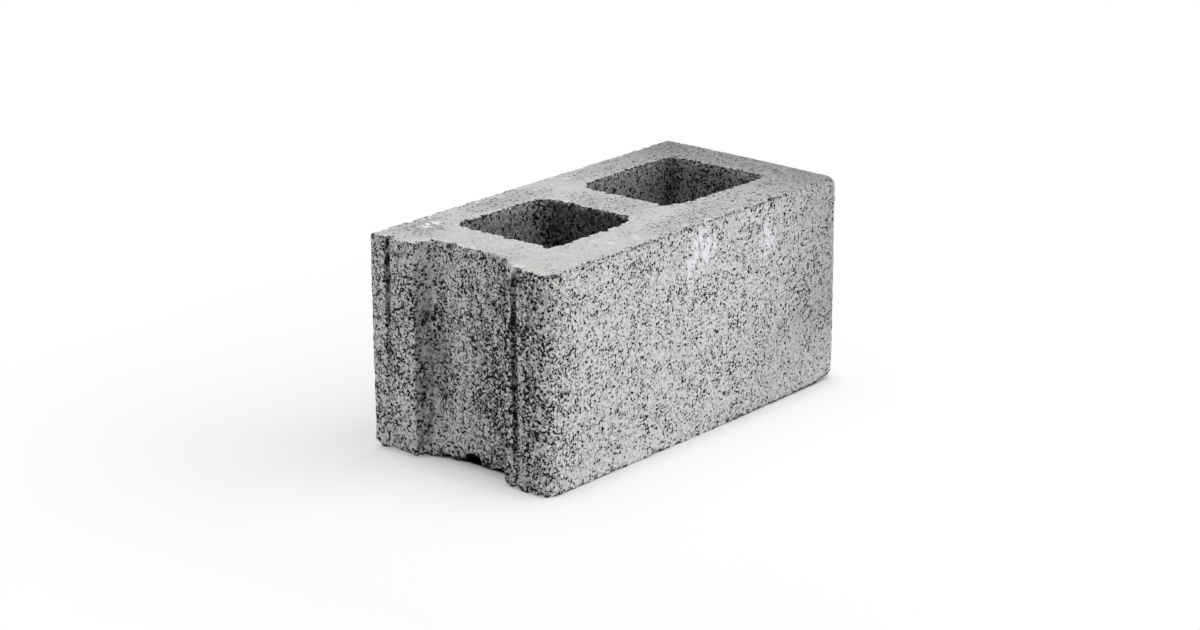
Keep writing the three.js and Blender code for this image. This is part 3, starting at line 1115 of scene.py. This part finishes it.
# Beneath the block the paper is painted black as painted shadow, except in the core windows.
under = beyond_box(place, NOWHERE, footprint - Vector((0.0, SIDE_INSET, 0.0))).ramp(0.0, 3 * MM)
for middle, half_size in CORE_WINDOWS:
    window = beyond_box(place, in_metres(*middle), in_metres(*half_size))
    under = under.at_least(window.ramp(6 * MM, 0.0))
paper = mixed(under, UNDER_BLOCK, FLOOR_WHITE)
paper = add_node(tree, "ShaderNodeBsdfDiffuse", {"Color": paper})
white = add_node(tree, "ShaderNodeEmission", {"Color": WHITE, "Strength": 1.0})
shader = add_node(tree, "ShaderNodeMixShader", {0: far * seen_directly(tree), 1: paper, 2: white})
add_node(tree, "ShaderNodeOutputMaterial", {"Surface": shader})

floor_mesh = bpy.data.meshes.new("studio_floor")
floor_corners = [(x * FLOOR_HALF, y * FLOOR_HALF, 0.0) for x, y in ((-1, -1), (1, -1), (1, 1), (-1, 1))]
floor_mesh.from_pydata(floor_corners, [], [(0, 1, 2, 3)])
floor_mesh.materials.append(paper_material)
floor = in_scene("studio_floor", floor_mesh)
print(f"floor: {2 * FLOOR_HALF:.0f} m square")

# %% [markdown]
# Light and camera
#
# The light comes from a bright room, from one wide soft box overhead and from two more in front, so
# the recessed end stays in half shade and the cores are dark. A sun lamp would be simpler, but its
# shadows are too hard for a studio. The camera stands two and a half metres away with a long lens.

# %% Light
ROOM_LIGHT = 0.42
AIM = Vector((0.0, 0.0, 0.1))


def soft_box(name, place, size, power):
    """A square area light that looks at the block's middle."""
    light = bpy.data.lights.new(name, "AREA")
    light.size = size
    light.energy = power
    lamp = in_scene(name, light)
    lamp.location = place
    lamp.rotation_euler = (AIM - Vector(place)).to_track_quat("-Z", "Y").to_euler()


# The room lights the block evenly, and the camera sees it as white.
world = bpy.data.worlds.new("bright_room")
bpy.context.scene.world = world
tree = emptied_tree(world)
room = add_node(tree, "ShaderNodeBackground", {"Color": WHITE, "Strength": ROOM_LIGHT})
white = add_node(tree, "ShaderNodeBackground", {"Color": WHITE, "Strength": 1.0})
both = add_node(tree, "ShaderNodeMixShader", {0: seen_directly(tree), 1: room, 2: white})
add_node(tree, "ShaderNodeOutputWorld", {"Surface": both})
soft_box("key_box", place=(1.0, -1.0, 1.75), size=1.5, power=14.0)
soft_box("top_box", place=(0.1, 0.1, 2.2), size=2.0, power=30.0)
soft_box("front_box", place=(0.7, -2.4, 0.45), size=1.2, power=9.0)
print(f"light: {len(bpy.data.lights)} soft boxes")

# %% Camera
CAMERA_AZIMUTH = math.radians(-139.89)
CAMERA_ELEVATION = math.radians(17.944)
CAMERA_ROLL = math.radians(-0.236)
CAMERA_PLACE = Vector((-1.9174, -1.6008, 0.8975))
LENS = 90.23

camera_data = bpy.data.cameras.new("camera")
camera_data.sensor_fit = "HORIZONTAL"
camera_data.lens = LENS
camera = in_scene("camera", camera_data)
backwards = Vector((math.cos(CAMERA_AZIMUTH), math.sin(CAMERA_AZIMUTH), math.tan(CAMERA_ELEVATION)))
camera.location = CAMERA_PLACE
level = backwards.to_track_quat("Z", "Y").to_matrix()
camera.rotation_euler = (level @ Matrix.Rotation(CAMERA_ROLL, 3, "Z")).to_euler()
bpy.context.scene.camera = camera
bpy.context.scene.view_settings.view_transform = "Standard"
print(f"camera: {LENS} mm lens, {CAMERA_PLACE.length:.2f} m from the block")
